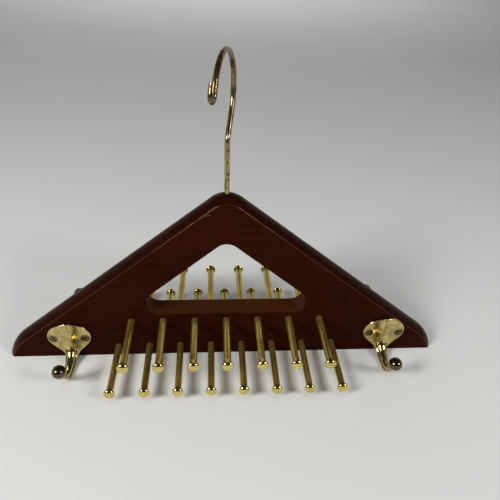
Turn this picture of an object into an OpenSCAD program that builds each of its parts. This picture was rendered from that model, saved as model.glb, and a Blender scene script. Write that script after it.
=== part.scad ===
// Wooden tie hanger with brass pegs, four coat hooks and a swivelling wire hook.
// It stands on the board's bottom edge. X runs along the board, the viewer of the
// front face looks along +Y, and Z is up. The origin is under the board's middle.

/* [Board] */
// Length of the board along its bottom edge
board_w = 425; // [380:1:500]
// Thickness of the wood
board_t = 22; // [18:0.5:27]
// Height at which the two sloping edges would meet
peak_z = 180; // [150:1:215]
// Length that a rounded end takes off the sharp corner between edge and floor
end_cut = 13.8; // [8:0.1:20]
// Radius of the rounded top
apex_r = 22; // [20:0.5:30]
// Radius of the rounded ends
end_r = 45; // [38:0.5:50]
// Radius of the crown worked along the sloping edges
crown_r = 16; // [14:0.5:20]

/* [Hand opening] */
// Height of the opening's flat sill
sill_z = 51.5; // [50:0.5:60]
// Height of the wood above the opening
top_bar = 44.1; // [38:0.1:55]
// Width of the opening at its widest
opening_w = 151; // [100:1:156]
// Radius of the opening's three corners
opening_r = 12.5; // [8:0.5:16]

/* [Pegs] */
// Gap between the outermost pegs and the plate of the nearest coat hook
peg_margin = 24.5; // [16:0.5:30]
// Number of pegs in a row that has one on the middle
odd_row = 7; // [5:2:7]
// Height of the upper rows
upper_z = 43.3; // [36:0.1:45]
// Height of the lower rows
lower_z = 11.6; // [8:0.1:16]
// Length of a peg from the wood to the end of its head
peg_l = 62; // [40:1:75]
// Diameter of a peg's shaft
peg_d = 6.35; // [5:0.05:8]
// Diameter of a peg's head
head_d = 10.4; // [8.5:0.1:13]
// Length of a peg's head along the shaft
head_l = 5.7; // [4.5:0.1:8]
// Depth of a peg's hole in the wood
peg_hole_l = 13; // [8:0.5:14]

/* [Wire hook] */
// Diameter of the wire
wire_d = 4.4; // [3.5:0.1:5]
// Plan angle that the hook's tip points to, measured from +X
hook_turn = -104.5; // [-180:0.5:180]
// Height of the wire's bend above the top of the board
bend_up = 47.4; // [30:0.1:60]
// Radius of that bend
bend_r = 9; // [6:0.5:14]
// Radius of the hook's round part
loop_r = 31.2; // [28:0.1:34]
// Height of the round part's middle above the bend
loop_up = 38.6; // [34:0.1:46]
// Distance of the round part's middle in front of the shank
loop_x = 10.6; // [5:0.1:12]
// Angle below the front of the round part where it runs straight
loop_end = 21.5; // [0:0.5:40]
// Length of the straight run before the wire doubles back
tip_run = 3; // [0.5:0.5:8]
// Radius of the bend in which it doubles back
curl_r = 4.3; // [3.5:0.1:8]
// Angle of that bend
curl_turn = 185; // [150:1:200]
// Length of the straight tip behind it
tip_l = 7; // [2:0.5:9]

/* [Swivel] */
// Outside diameter of the bush at the top of the board
bush_d = 7.2; // [6.5:0.1:9]
// Length of the bush
bush_l = 12; // [8:0.5:20]
// Depth of the bush below the top of the board
bush_sink = 1.6; // [0.5:0.1:3]
// Outside diameter of the washer under the wood
washer_d = 10; // [9:0.1:12]
// Thickness of the washer
washer_t = 1; // [0.8:0.1:2]
// Diameter of the head riveted over on the wire's lower end
rivet_d = 7.4; // [6:0.1:8]
// Thickness of that head
rivet_t = 2; // [1.5:0.1:3]
// Depth of the washer's seat above the top of the opening
seat_depth = 3.6; // [3:0.1:6]

/* [Coat hooks] */
// Distance of the front left coat hook from the left end
front_left_in = 62.5; // [55:0.5:70]
// Distance of the front right coat hook from the right end
front_right_in = 56; // [55:0.5:70]
// Distance of the rear left coat hook from the left end
rear_left_in = 58; // [55:0.5:70]
// Distance of the rear right coat hook from the right end
rear_right_in = 57.5; // [55:0.5:70]
// Width of the plate
plate_w = 41; // [38:0.5:46]
// Height of the plate's pointed top
plate_top_z = 44; // [42:0.5:48]
// Height at which the plate is widest
plate_mid_z = 27; // [25:0.5:29]
// Height of the plate's lower end
plate_low_z = 4; // [3:0.5:6]
// Width of the plate's lower end
neck_w = 12; // [10:0.5:14]
// Thickness of the plate at its rim
plate_rim = 2.6; // [2:0.1:4]
// Thickness of the plate on its middle line
plate_ridge = 4; // [3:0.1:5]
// Distance of the ball's middle from the wood
ball_reach = 44; // [36:0.5:50]
// Height of the ball's middle
ball_z = 24.5; // [20:0.5:28]
// Diameter of the ball
ball_d = 12.4; // [10:0.1:14]
// Width of the arm where it leaves the plate
arm_w = 14; // [10:0.5:16]
// Width of the arm at the ball
arm_tip_w = 6; // [4:0.5:8]
// Thickness of the arm
arm_t = 5; // [4:0.1:5.6]
// Lowest height of the arm's middle line
arm_low_z = 3.4; // [3.2:0.1:5]

/* [Screws] */
// Distance of a screw from the side of the plate
screw_in = 5.5; // [5:0.1:8]
// Height of the screws
screw_z = 26; // [24:0.5:28]
// Diameter of a screw's head
screw_head_d = 7.4; // [6.5:0.1:8]
// Diameter of a screw's shank
screw_d = 3.5; // [3:0.1:4]
// Wood left between the tips of two screws that face each other
tip_gap = 2; // [1:0.5:8]

/* [Fits] */
// Clearance all round a peg in its hole
peg_clear = 0.05; // [0.02:0.01:0.1]
// Clearance all round the wire in its bush
wire_clear = 0.08; // [0.05:0.01:0.1]
// Clearance all round the wire in the wood and the washer
bore_clear = 0.5; // [0.3:0.1:1]
// Clearance all round the bush in the wood
bush_clear = 0.05; // [0.02:0.01:0.1]
// Clearance all round a screw's shank and head
screw_clear = 0.1; // [0.05:0.01:0.2]
// Gap between the washer and the riveted head
rivet_gap = 0.3; // [0.3:0.05:0.6]

/* [Hidden] */
$fn = 48;
// How far a cutter runs past the face that it cuts
past = 1;
// Steps along each arc of an outline, and across the crown from one face to the other
arc_steps = 14;
crown_steps = 8;
// Steps along each curve of a coat hook's outline and arm
curve_steps = 8;
// Sides of a coat hook's arm
arm_sides = 16;
// Sides of the bent wire, and its sections round each bend
wire_sides = 20;
bend_steps = 6;
loop_steps = 32;
curl_steps = 14;
// Flats of the bent wire over the wire's own diameter
wire_over = 1.01;
// Length of the round shank inside the bent wire
shank_lap = 1;
// Room left behind a peg in its hole
peg_end_gap = 0.5;

even_row = odd_row + 1;
half_w = board_w / 2;
half_t = board_t / 2;
slope = atan2(peak_z, half_w + end_cut);

// Middle of the rounded top
apex_c = [0, peak_z - apex_r / cos(slope)];
apex_top_z = apex_c[1] + apex_r;

// Middle of the right rounded end: it touches the slope and meets the bottom corner
end_a = peak_z - end_r / cos(slope);
end_b = half_w + end_a * tan(slope);
end_k = 1 + tan(slope) * tan(slope);
end_x = (end_b - sqrt(end_b * end_b - end_k * (half_w * half_w + end_a * end_a - end_r * end_r))) / end_k;
end_c = [end_x, end_a - end_x * tan(slope)];

// Middles of the opening's three corners
corner_x = opening_w / 2 - opening_r;
corner_z = sill_z + opening_r;
opening_top_z = apex_top_z - top_bar;
crest_z = opening_top_z - opening_r;
opening_slope = atan2(crest_z - corner_z, corner_x);

// Places along the board
innermost = max(front_left_in, front_right_in, rear_left_in, rear_right_in);
peg_pitch = 2 * (half_w - innermost - plate_w / 2 - peg_margin) / odd_row;
screw_gap = plate_w - 2 * screw_in;

// Screws: the plate's thickness under one, its countersink, its cross recess and its length in the wood
screw_plate_t = plate_ridge - (plate_ridge - plate_rim) * screw_gap / plate_w;
sink_h = (screw_head_d - screw_d) / 2;
recess_w = 1;
recess_l = screw_head_d * 0.6;
recess_h = sink_h * 0.6;
screw_l = half_t - tip_gap / 2 - screw_clear;

// Heights along the swivel
bush_top_z = apex_top_z - bush_sink;
seat_z = opening_top_z + seat_depth;
rivet_top_z = seat_z - washer_t - rivet_gap;
foot_z = rivet_top_z - rivet_t;

// The line from the bend that touches the back of the hook's round part
bend_z = apex_top_z + bend_up;
lean_to = [loop_x, loop_up];
lean_angle = atan2(lean_to[1], lean_to[0]) + asin(loop_r / norm(lean_to));
bend_l = bend_r * tan((lean_angle - 90) / 2);
loop_c = [loop_x, bend_z + loop_up];
curl_c = loop_c + (loop_r + curl_r) * [cos(loop_end), sin(loop_end)] + tip_run * [sin(loop_end), -cos(loop_end)];
tip_turn = loop_end + 180 + curl_turn;
tip_way = [-sin(tip_turn), cos(tip_turn)];
shank_top_z = bend_z - bend_l;

PEG_NODES = concat(
    [for (i = [1:odd_row]) str("peg_front_upper_", i)],
    [for (i = [1:even_row]) str("peg_front_lower_", i)],
    [for (i = [1:even_row]) str("peg_rear_upper_", i)],
    [for (i = [1:odd_row]) str("peg_rear_lower_", i)]);
HOOK_PLACES = ["front_left", "front_right", "rear_left", "rear_right"];

// Points along an arc in the plane
function arc(c, r, from, to) =
    [for (k = [0:arc_steps]) let (a = from + (to - from) * k / arc_steps) c + r * [cos(a), sin(a)]];

// Points along a curve that leaves p0 towards p1 and comes into p3 from p2
function curve(p0, p1, p2, p3) =
    [for (k = [0:curve_steps]) let (t = k / curve_steps, s = 1 - t)
        s * s * s * p0 + 3 * s * s * t * p1 + 3 * s * t * t * p2 + t * t * t * p3];

function mirrored(points) = [for (k = [len(points) - 1:-1:0]) [-points[k][0], points[k][1]]];

// Outline of the board, drawn in from its widest outline by inset
function right_end(inset) =
    arc(end_c, end_r - inset, asin((-past - end_c[1]) / (end_r - inset)), 90 - slope);
function board_outline(inset) = concat(
    right_end(inset),
    arc(apex_c, apex_r - inset, 90 - slope, 90 + slope),
    mirrored(right_end(inset)));

function opening_outline() = concat(
    arc([corner_x, corner_z], opening_r, -90, 90 - opening_slope),
    arc([0, crest_z], opening_r, 90 - opening_slope, 90 + opening_slope),
    arc([-corner_x, corner_z], opening_r, 90 + opening_slope, 270));

// Places of the pegs in a row, as distances from the middle
function row_x(count) = [for (i = [0:count - 1]) (i - (count - 1) / 2) * peg_pitch];

// Turns a shape drawn on the front of the board round to its back
module on_side(side) {
    if (side == "rear") rotate([0, 0, 180]) children();
    else children();
}

// A solid through a list of rings that all have the same number of points
module through_rings(rings) {
    last = len(rings) - 1;
    sides = len(rings[0]);
    polyhedron(
        points = [for (r = rings) each r],
        faces = concat(
            [[for (k = [0:sides - 1]) k]],
            [for (i = [0:last - 1], k = [0:sides - 1]) let (n = (k + 1) % sides)
                [i * sides + k, (i + 1) * sides + k, (i + 1) * sides + n, i * sides + n]],
            [[for (k = [sides - 1:-1:0]) last * sides + k]]));
}

// How far the crowned edge lies inside the widest outline at a distance y from the middle
function crown_inset(y) = crown_r - sqrt(crown_r * crown_r - y * y);

module board_blank() {
    intersection() {
        through_rings([for (k = [crown_steps / 2:-1:-crown_steps / 2])
            let (y = board_t * k / crown_steps)
            [for (p = board_outline(crown_inset(y))) [p[0], y, p[1]]]]);
        translate([-board_w, -board_t, 0]) cube([2 * board_w, 2 * board_t, 2 * peak_z]);
    }
}

// Drills a hole in the front face
module face_hole(x, z, d, depth) {
    translate([x, -half_t + depth, z]) rotate([90, 0, 0]) cylinder(d = d, h = depth + past);
}

module peg_holes(count, z) {
    for (x = row_x(count)) face_hole(x, z, peg_d + 2 * peg_clear, peg_hole_l);
}

module screw_holes(x) {
    for (s = [-1, 1]) face_hole(x + s * screw_gap / 2, screw_z, screw_d + 2 * screw_clear, screw_l + screw_clear);
}

module swivel_bore() {
    translate([0, 0, sill_z + opening_r])
        cylinder(d = wire_d + 2 * bore_clear, h = peak_z);
    translate([0, 0, bush_top_z - bush_l - bush_clear])
        cylinder(d = bush_d + 2 * bush_clear, h = peak_z);
    translate([0, 0, sill_z + opening_r])
        cylinder(d = washer_d + 2 * bush_clear, h = seat_z - sill_z - opening_r);
}

module board() {
    color("#3c1610") difference() {
        board_blank();
        rotate([90, 0, 0]) linear_extrude(board_t + 2 * past, center = true) polygon(opening_outline());
        peg_holes(odd_row, upper_z);
        peg_holes(even_row, lower_z);
        on_side("rear") peg_holes(even_row, upper_z);
        on_side("rear") peg_holes(odd_row, lower_z);
        for (p = HOOK_PLACES) on_side(side_of(p)) screw_holes(hook_x(p));
        swivel_bore();
    }
}

// Sections of the wire round one bend, as places with the direction that the wire runs in there
function bend_sections(c, r, from, turn, count) =
    let (side = turn > 0 ? 1 : -1)
    [for (k = [0:count]) let (a = from + turn * k / count)
        [c + r * [cos(a), sin(a)], side * [-sin(a), cos(a)]]];

function wire_sections() = concat(
    [[[0, shank_top_z - shank_lap], [0, 1]]],
    bend_sections([-bend_r, shank_top_z], bend_r, 0, lean_angle - 90, bend_steps),
    bend_sections(loop_c, loop_r, lean_angle + 90, loop_end - lean_angle - 90, loop_steps),
    bend_sections(curl_c, curl_r, loop_end + 180, curl_turn, curl_steps),
    [[curl_c + curl_r * [cos(tip_turn), sin(tip_turn)] + tip_l * tip_way, tip_way]]);

module bent_wire() {
    r = wire_over * wire_d / 2 / cos(180 / wire_sides);
    through_rings([for (w = wire_sections())
        [for (k = [0:wire_sides - 1]) let (a = 360 * k / wire_sides, out = r * cos(a))
            [w[0][0] + w[1][1] * out, r * sin(a), w[0][1] - w[1][0] * out]]]);
}

module wire_hook() {
    color("#b08a52") rotate([0, 0, hook_turn]) {
        bent_wire();
        translate([0, 0, foot_z]) cylinder(d = wire_d, h = shank_top_z - foot_z - shank_lap / 2);
        translate([0, 0, foot_z]) cylinder(d1 = rivet_d - rivet_t, d2 = rivet_d, h = rivet_t);
    }
}

module swivel_bush() {
    color("#c9a640") translate([0, 0, bush_top_z - bush_l]) difference() {
        cylinder(d = bush_d, h = bush_l);
        translate([0, 0, -past]) cylinder(d = wire_d + 2 * wire_clear, h = bush_l + 2 * past);
    }
}

module swivel_washer() {
    color("#c9a640") translate([0, 0, seat_z - washer_t]) difference() {
        cylinder(d = washer_d, h = washer_t);
        translate([0, 0, -past]) cylinder(d = wire_d + 2 * bore_clear, h = washer_t + 2 * past);
    }
}

// Half the outline of a peg, from the bottom of its hole outward
function peg_profile() = let (
    head_c = [0, peg_l - head_l / 2],
    neck = asin(peg_d / head_d)) concat(
    [[0, peg_end_gap - peg_hole_l], [peg_d / 2, peg_end_gap - peg_hole_l]],
    [for (k = [0:arc_steps]) let (a = neck + (180 - neck) * k / arc_steps)
        head_c + [head_d / 2 * sin(a), -head_l / 2 * cos(a)]]);

module peg(x, z) {
    color("#c8a83c") translate([x, -half_t, z]) rotate([90, 0, 0]) rotate_extrude() polygon(peg_profile());
}

module peg_in_row(side, count, z, i) {
    on_side(side) peg(row_x(count)[side == "rear" ? count - i : i - 1], z);
}

// Right half of a coat hook's plate, from its lower end to its top
function plate_half() = concat(
    curve([neck_w / 2, plate_low_z], [neck_w / 2 + 0.5, plate_low_z + 8],
        [plate_w / 2, plate_mid_z - 11], [plate_w / 2, plate_mid_z]),
    curve([plate_w / 2, plate_mid_z], [plate_w / 2, plate_mid_z + 10],
        [plate_w / 4, plate_top_z - 1.5], [0, plate_top_z]));

// Middle line of a coat hook's arm, as distance from the wood and height
function arm_line() = concat(
    curve([plate_rim / 2, plate_low_z + 12], [plate_ridge + 1, arm_low_z + 2],
        [ball_reach * 0.3, arm_low_z], [ball_reach * 0.58, arm_low_z]),
    [for (k = [1:curve_steps]) curve([ball_reach * 0.58, arm_low_z], [ball_reach * 0.8, arm_low_z],
        [ball_reach * 0.87, ball_z / 2], [ball_reach, ball_z])[k]]);

// One ring of the arm round its middle line, wide across X
function arm_ring(c, along, w, h) = [for (k = [0:arm_sides - 1]) let (a = 360 * k / arm_sides)
    [w / 2 * cos(a), -c[0] + along[1] * h / 2 * sin(a), c[1] + along[0] * h / 2 * sin(a)]];

module arm() {
    line = arm_line();
    last = len(line) - 1;
    intersection() {
        through_rings([for (i = [0:last]) let (
            step = line[min(i + 1, last)] - line[max(i - 1, 0)],
            left = 1 - i / last) arm_ring(line[i], step / norm(step),
                arm_tip_w + (arm_w - arm_tip_w) * left * left, arm_t)]);
        translate([-neck_w, -2 * ball_reach, 0]) cube([2 * neck_w, 2 * ball_reach, 2 * plate_top_z]);
    }
}

module coat_hook(side, x) {
    color("#c4a640") on_side(side) translate([x, -half_t, 0]) {
        difference() {
            intersection() {
                rotate([90, 0, 0]) linear_extrude(plate_ridge) polygon(concat(plate_half(), mirrored(plate_half())));
                linear_extrude(plate_top_z) polygon([[-plate_w, 0], [plate_w, 0],
                    [plate_w / 2, -plate_rim], [0, -plate_ridge], [-plate_w / 2, -plate_rim]]);
            }
            for (s = [-1, 1]) translate([s * screw_gap / 2, 0, screw_z]) screw_bore();
        }
        arm();
        translate([0, -ball_reach, ball_z]) sphere(d = ball_d);
    }
}

// Hole and countersink for a screw, cut out of the plate
module screw_bore() {
    translate([0, past, 0]) rotate([90, 0, 0])
        cylinder(d = screw_d + 2 * screw_clear, h = plate_ridge + 2 * past);
    translate([0, -screw_plate_t + sink_h, 0]) rotate([90, 0, 0])
        cylinder(d1 = screw_d + 2 * screw_clear, d2 = screw_head_d + 2 * screw_clear, h = sink_h);
    translate([0, -screw_plate_t, 0]) rotate([90, 0, 0])
        cylinder(d = screw_head_d + 2 * screw_clear, h = past);
}

module screw(x) {
    translate([x, -half_t - screw_plate_t, screw_z]) rotate([-90, 0, 0]) difference() {
        union() {
            cylinder(d1 = screw_head_d, d2 = screw_d, h = sink_h);
            cylinder(d = screw_d, h = screw_plate_t + screw_l - screw_d);
            translate([0, 0, screw_plate_t + screw_l - screw_d])
                cylinder(d1 = screw_d, d2 = screw_d / 4, h = screw_d);
        }
        for (a = [0, 90]) rotate([0, 0, a])
            translate([-recess_l / 2, -recess_w / 2, -past]) cube([recess_l, recess_w, past + recess_h]);
    }
}

module screw_pair(side, x) {
    color("#6b5530") on_side(side) for (s = [-1, 1]) screw(x + s * screw_gap / 2);
}

// Place of a coat hook along its own side of the board
function hook_x(place) = place == "front_left" ? front_left_in - half_w
    : place == "front_right" ? half_w - front_right_in
    : place == "rear_left" ? half_w - rear_left_in
    : rear_right_in - half_w;
function side_of(place) = place == "front_left" || place == "front_right" ? "front" : "rear";

board();
wire_hook();
swivel_bush();
swivel_washer();
for (i = [1:odd_row]) {
    peg_in_row("front", odd_row, upper_z, i);
    peg_in_row("rear", odd_row, lower_z, i);
}
for (i = [1:even_row]) {
    peg_in_row("front", even_row, lower_z, i);
    peg_in_row("rear", even_row, upper_z, i);
}
for (p = HOOK_PLACES) {
    coat_hook(side_of(p), hook_x(p));
    screw_pair(side_of(p), hook_x(p));
}
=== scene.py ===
import bmesh
import bpy
import math
from bpy.props import FloatProperty, FloatVectorProperty, IntProperty, PointerProperty
from contextlib import contextmanager
from mathutils import Matrix, Vector
from types import SimpleNamespace


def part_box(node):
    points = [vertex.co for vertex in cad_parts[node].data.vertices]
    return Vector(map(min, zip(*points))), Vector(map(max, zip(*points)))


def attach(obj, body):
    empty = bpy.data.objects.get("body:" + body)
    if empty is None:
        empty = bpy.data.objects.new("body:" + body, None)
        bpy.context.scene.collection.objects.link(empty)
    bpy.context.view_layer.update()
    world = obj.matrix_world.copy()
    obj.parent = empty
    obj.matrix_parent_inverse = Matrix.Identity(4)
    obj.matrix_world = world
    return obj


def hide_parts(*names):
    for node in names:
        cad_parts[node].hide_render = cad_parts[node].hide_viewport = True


bl_info = {
    "name": "Tie hanger",
    "version": (1, 0, 0),
    "blender": (4, 5, 0),
    "location": "3D View > Sidebar > Tie hanger",
    "description": "Builds the looks of a wooden tie hanger round its fixed frame",
    "category": "Object",
}

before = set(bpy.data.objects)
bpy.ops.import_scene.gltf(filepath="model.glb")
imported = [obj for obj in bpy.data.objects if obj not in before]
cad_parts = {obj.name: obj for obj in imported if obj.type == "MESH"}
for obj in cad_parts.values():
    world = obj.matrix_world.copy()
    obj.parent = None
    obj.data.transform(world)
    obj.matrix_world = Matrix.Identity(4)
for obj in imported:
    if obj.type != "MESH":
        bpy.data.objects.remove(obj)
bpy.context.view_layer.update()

MM = 0.001
MERGE = 0.001 * MM
WHITE = (1.0, 1.0, 1.0)


def size(name, description, default_mm):
    looks = {"min": 0.0, "unit": "LENGTH", "subtype": "DISTANCE"}
    return FloatProperty(name=name, description=description, default=default_mm * MM, **looks)


def angle(name, description, degrees, **limits):
    looks = {"default": math.radians(degrees), "subtype": "ANGLE", **limits}
    return FloatProperty(name=name, description=description, **looks)


def power(name, description, watts):
    return FloatProperty(name=name, description=description, default=watts, unit="POWER")


def tint(name, description, default):
    looks = {"size": 3, "min": 0.0, "max": 1.0, "subtype": "COLOR"}
    return FloatVectorProperty(name=name, description=description, default=default, **looks)


def in_mm(settings):
    """The settings with their lengths in millimetres and everything else as it is."""
    made = SimpleNamespace()
    for name in settings.__annotations__:
        value, unit = getattr(settings, name), settings.bl_rna.properties[name].unit
        setattr(made, name, value / MM if unit == "LENGTH" else value)
    return made


# Settings: the sizes and colours that a user would change


class BoardSettings(bpy.types.PropertyGroup):
    width: size("Width", "Length of the board along the floor", 425)
    thickness: size("Thickness", "Thickness of the wood", 22)
    peak: size("Peak", "Height at which the sloping edges would meet", 180)
    end_cut: size("End cut", "Length that a rounded end takes off the corner", 13.8)
    apex_radius: size("Top radius", "Radius of the rounded top", 22)
    end_radius: size("End radius", "Radius of the rounded ends", 45)
    crown_radius: size("Crown radius", "Radius worked across the outer edge", 16)
    arris_radius: size("Arris radius", "Radius between the faces and the outer edge", 1.0)
    foot_bevel: size("Foot bevel", "Rounding of the edges that stand on the floor", 0.7)
    sill: size("Sill", "Height of the opening's flat sill", 51.5)
    top_bar: size("Top bar", "Height of the wood above the opening", 44.1)
    opening_width: size("Opening width", "Widest part of the opening", 151)
    opening_radius: size("Opening radius", "Radius of the opening's corners", 12.5)
    opening_round: size("Opening edge", "Rounding of the opening's edges", 1.5)
    colour: tint("Stain", "Main colour of the stained wood", (0.0330, 0.0064, 0.0024))
    streak: tint("Grain", "Colour of the darker grain", (0.0200, 0.0038, 0.0016))
    bare: tint("Bare wood", "Colour of the wood under the stain", (0.40, 0.22, 0.17))
    sill_colour: tint("Sawn wood", "Colour of the wood inside the opening", (0.053, 0.0150, 0.0046))


class PegSettings(bpy.types.PropertyGroup):
    pitch: size("Pitch", "Distance between neighbouring pegs of a row", 30)
    upper: size("Upper rows", "Height of the upper rows", 43.3)
    lower: size("Lower rows", "Height of the lower rows", 11.6)
    length: size("Length", "Length of a peg outside the wood", 62)
    shaft: size("Shaft", "Diameter of a peg's shaft", 6.35)
    head: size("Head", "Diameter of a peg's head", 10.4)
    head_length: size("Head length", "Length of a peg's head", 5.7)
    tilt: angle("Tilt", "How far a peg may lean from square", 0.3, min=0.0, max=math.radians(2))
    seed: IntProperty(name="Seed", description="Seed of the pegs' small differences", default=7)
    colour: tint("Brass", "Colour of the peg brass", (0.80, 0.665, 0.215))


class WireSettings(bpy.types.PropertyGroup):
    wire: size("Wire", "Diameter of the wire", 4.4)
    bend: size("Bend", "Height of the bend above the floor", 221.2)
    bend_radius: size("Bend radius", "Radius of the bend", 9)
    loop_radius: size("Hook radius", "Radius of the round part", 31.2)
    loop_out: size("Hook offset", "Distance of the round part in front of the shank", 10.6)
    loop_up: size("Hook height", "Height of the round part above the bend", 38.6)
    loop_end: angle("Hook end", "Angle at which the round part ends", 21.5)
    tip_run: size("Tip run", "Straight run before the wire doubles back", 3)
    curl_radius: size("Tip bend radius", "Radius in which the wire doubles back", 4.3)
    curl_turn: angle("Tip bend", "Angle in which the wire doubles back", 185)
    tip: size("Tip", "Length of the straight tip", 7)
    turn: angle("Turn", "Direction of the hook's tip in plan", -104.5)
    sides: IntProperty(name="Sides", description="Sides round the wire", default=32, min=8)
    colour: tint("Wire brass", "Colour of the wire's clean brass", (0.52, 0.46, 0.20))
    # The second wire colour is partly tarnish from handling and partly painted shade.
    browned: tint("Browned brass", "Colour of the brass that was handled", (0.29, 0.208, 0.112))


class CoatHookSettings(bpy.types.PropertyGroup):
    plate_width: size("Plate width", "Width of the plate", 41)
    plate_top: size("Plate top", "Height of the plate's top", 44)
    plate_mid: size("Plate middle", "Height at which the plate is widest", 27)
    plate_low: size("Plate foot", "Height of the plate's lower end", 4)
    neck: size("Neck", "Width of the plate's lower end", 12)
    rim: size("Rim", "Thickness of the plate at its rim", 2.6)
    ridge: size("Ridge", "Thickness of the plate on its middle line", 4)
    reach: size("Reach", "Distance of the ball from the wood", 44)
    ball_height: size("Ball height", "Height of the ball's middle", 24.5)
    ball: size("Ball", "Diameter of the ball", 12.4)
    arm: size("Arm", "Width of the arm where it leaves the plate", 14)
    arm_tip: size("Arm tip", "Width of the arm at the ball", 6)
    arm_thickness: size("Arm thickness", "Thickness of the arm", 5)
    arm_low: size("Arm height", "Lowest height of the arm's middle line", 3.4)
    rib_top: size("Rib top", "Height at which the arm's round rib starts", 13)
    front_left: size("Front left", "Distance of the front left hook from the middle", 150)
    front_right: size("Front right", "Distance of the front right hook from the middle", 156.5)
    rear_left: size("Rear left", "Distance of the rear left hook from the middle", 154.5)
    rear_right: size("Rear right", "Distance of the rear right hook from the middle", 155)
    screw_in: size("Screw place", "Distance of a screw from the plate's side", 5.5)
    screw_height: size("Screw height", "Height of the screws", 26)
    screw_head: size("Screw head", "Diameter of a screw's head", 7.4)
    colour: tint("Cast brass", "Colour of the cast brass", (0.71, 0.58, 0.25))
    ball_colour: tint("Ball bronze", "Colour of the darkened balls", (0.15, 0.115, 0.065))
    screw_colour: tint("Screw bronze", "Colour of the darkened screws", (0.34, 0.27, 0.13))


class StageSettings(bpy.types.PropertyGroup):
    floor_size: size("Floor", "Width of the floor", 9000)
    floor_colour: tint("Floor colour", "Colour of the pale floor", (0.80, 0.80, 0.785))
    key_power: power("Left light", "Power of the left light", 15.0)
    fill_power: power("Right light", "Power of the right light", 7.5)
    top_power: power("Top light", "Power of the soft top light", 8.5)
    rear_power: power("Rear light", "Power of the rear light", 135.0)
    key_size: size("Left size", "Width of the left light", 420)
    fill_size: size("Right size", "Width of the right light", 340)
    top_size: size("Top size", "Width of the soft top light", 1800)
    horizon: tint("Horizon", "Colour of the room near the floor", (0.54, 0.55, 0.54))
    ceiling: tint("Ceiling", "Colour of the room overhead", (0.05, 0.048, 0.045))


# Node helpers, for the materials and for the Geometry Nodes


def live(sockets, key=0):
    """The socket of that name, or at that place, among the ones in use."""
    used = [s for s in sockets if s.enabled]
    return used[key] if isinstance(key, int) else next(s for s in used if s.name == key)


def feed(t, n, key, value):
    """Links a socket to an input of a node, or sets the input to a value."""
    socket = live(n.inputs, key)
    if isinstance(value, bpy.types.NodeSocket):
        t.links.new(value, socket)
    elif socket.type == "RGBA" and len(value) == 3:
        socket.default_value = (*value, 1.0)
    else:
        socket.default_value = value


def node(t, kind, feeds, **settings):
    """A new node with its settings made and its inputs, by name or place, linked or set."""
    n = t.nodes.new(kind)
    for key, value in settings.items():
        setattr(n, key, value)
    for key, value in feeds.items():
        feed(t, n, key, value)
    return n


def maths(t, operation, *values):
    return node(t, "ShaderNodeMath", dict(enumerate(values)), operation=operation).outputs[0]


def apart(t, vector):
    """The X, Y and Z of a vector, by name."""
    return node(t, "ShaderNodeSeparateXYZ", {0: vector}).outputs


def span(t, value, low, high, at_low=0.0, at_high=1.0):
    """Goes evenly from at_low to at_high while the value goes from low to high."""
    feeds = {"Value": value, "From Min": low, "From Max": high, "To Min": at_low, "To Max": at_high}
    return node(t, "ShaderNodeMapRange", feeds).outputs[0]


def mapped(t, vector, scale):
    return node(t, "ShaderNodeMapping", {"Vector": vector, "Scale": scale}).outputs["Vector"]


def noise(t, vector, scale, detail=4.0, roughness=0.5, distortion=0.0):
    """Noise of one scale, or of a scale for each direction where three are given."""
    if isinstance(scale, tuple):
        vector, scale = mapped(t, vector, scale), 1.0
    feeds = {"Vector": vector, "Scale": scale, "Detail": detail, "Roughness": roughness}
    return node(t, "ShaderNodeTexNoise", {**feeds, "Distortion": distortion}).outputs["Fac"]


def ramp(t, fac, *stops):
    """A ramp between two stops, each a place and a colour or a single value."""
    n = node(t, "ShaderNodeValToRGB", {"Fac": fac})
    for e, (place, value) in zip(n.color_ramp.elements, stops):
        e.position = place
        e.color = (*(value if isinstance(value, tuple) else (value,) * 3), 1.0)
    return n.outputs["Color"]


def mix(t, fac, a, b, blend="MIX"):
    n = node(t, "ShaderNodeMix", {}, data_type="RGBA", blend_type=blend)
    for key, value in (("Factor", fac), ("A", a), ("B", b)):
        feed(t, n, key, value)
    return live(n.outputs)


def multiply(t, fac, a, b):
    """The colour a, darkened by the colour b."""
    return mix(t, fac, a, b, "MULTIPLY")


def shade(colour, share=1.0):
    """A colour with all its parts multiplied by the share."""
    return tuple(share * v for v in colour)


# Materials. The two heights below are on the wire in millimetres: between them its brass turns from clean to
# dark brown, partly tarnish from handling and partly painted shade

CLEAN_BELOW, BROWNED_AND_SHADED_ABOVE = 184, 226
MARKS = (700.0, 700.0, 120.0)


def material(name, metallic, roughness):
    """A new material with its node tree, its principled shader and an Object coordinate."""
    m = bpy.data.materials.new(name)
    m.use_nodes = True
    t = m.node_tree
    shader = t.nodes["Principled BSDF"]
    feed(t, shader, "Metallic", metallic)
    feed(t, shader, "Roughness", roughness)
    return m, t, shader, node(t, "ShaderNodeTexCoord", {}).outputs["Object"]


def bumps(t, shader, *layers):
    """Bumps one over the other, each a height, a strength and a distance in millimetres."""
    normal = shader.inputs["Normal"]
    for height, strength, distance in layers:
        feeds = {"Height": height, "Strength": strength, "Distance": distance * MM}
        if normal.links:
            feeds["Normal"] = normal.links[0].from_socket
        t.links.new(node(t, "ShaderNodeBump", feeds).outputs["Normal"], normal)


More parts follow.
